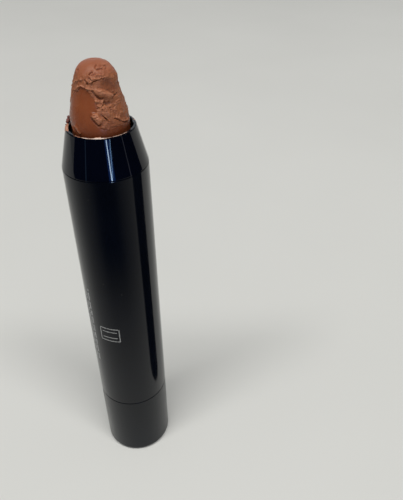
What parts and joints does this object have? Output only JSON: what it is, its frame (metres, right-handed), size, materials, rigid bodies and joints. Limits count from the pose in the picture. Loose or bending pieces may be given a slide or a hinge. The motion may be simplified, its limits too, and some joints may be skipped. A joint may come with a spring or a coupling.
{
  "type": "twist-up cosmetic crayon",
  "caption": "Uncapped twist-up cosmetic crayon: cylindrical barrel with conical nose, turning tail knob and a worn coloured bullet that a spiral sleeve raises and lowers.",
  "frame": {"origin": "centre of the flat end of the tail knob, on the axis", "axes": "+Z along the axis from the tail knob to the bullet's tip; +X and -X through the two drive pins"},
  "size_m": [0.013, 0.013, 0.0804],
  "materials": {
    "barrel_plastic": "satin-gloss black, injection moulded",
    "nose_plastic": "high-gloss black",
    "guide_plastic": "moulded black acetal",
    "slide_plastic": "natural white acetal",
    "core_plastic": "moulded dark grey",
    "knob_plastic": "satin-gloss black, slightly hazier than the barrel",
    "silicone": "red silicone rubber",
    "label": "printed shade label, blank",
    "cup_plastic": "natural white polypropylene",
    "bullet_wax": "semi-matte terracotta brown cosmetic wax"
  },
  "bodies": {
    "barrel_body": {"barrel": "barrel_plastic", "nose_cone": "nose_plastic", "guide_tube": "guide_plastic", "tail_bush": "slide_plastic"},
    "tail_body": {"tail_knob": "knob_plastic", "knob_core": "core_plastic", "spiral_sleeve": "slide_plastic", "drag_o_ring": "silicone", "end_label": "label"},
    "carriage": {"bullet_cup": "cup_plastic", "bullet": "bullet_wax"}
  },
  "joints": [
    {"name": "tail_twist", "type": "hinge", "parent": "barrel_body", "child": "tail_body", "pos_m": [0, 0, 0], "axis": [0, 0, 1], "range_deg": [-1485, 482]},
    {"name": "carriage_lift", "type": "slide", "parent": "barrel_body", "child": "carriage", "axis": [0, 0, 1], "range_m": [-0.0247, 0.008]}
  ],
  "couplings": [
    {"joint": "tail_twist", "follows": "carriage_lift", "rad_per_m": 1047.2}
  ]
}
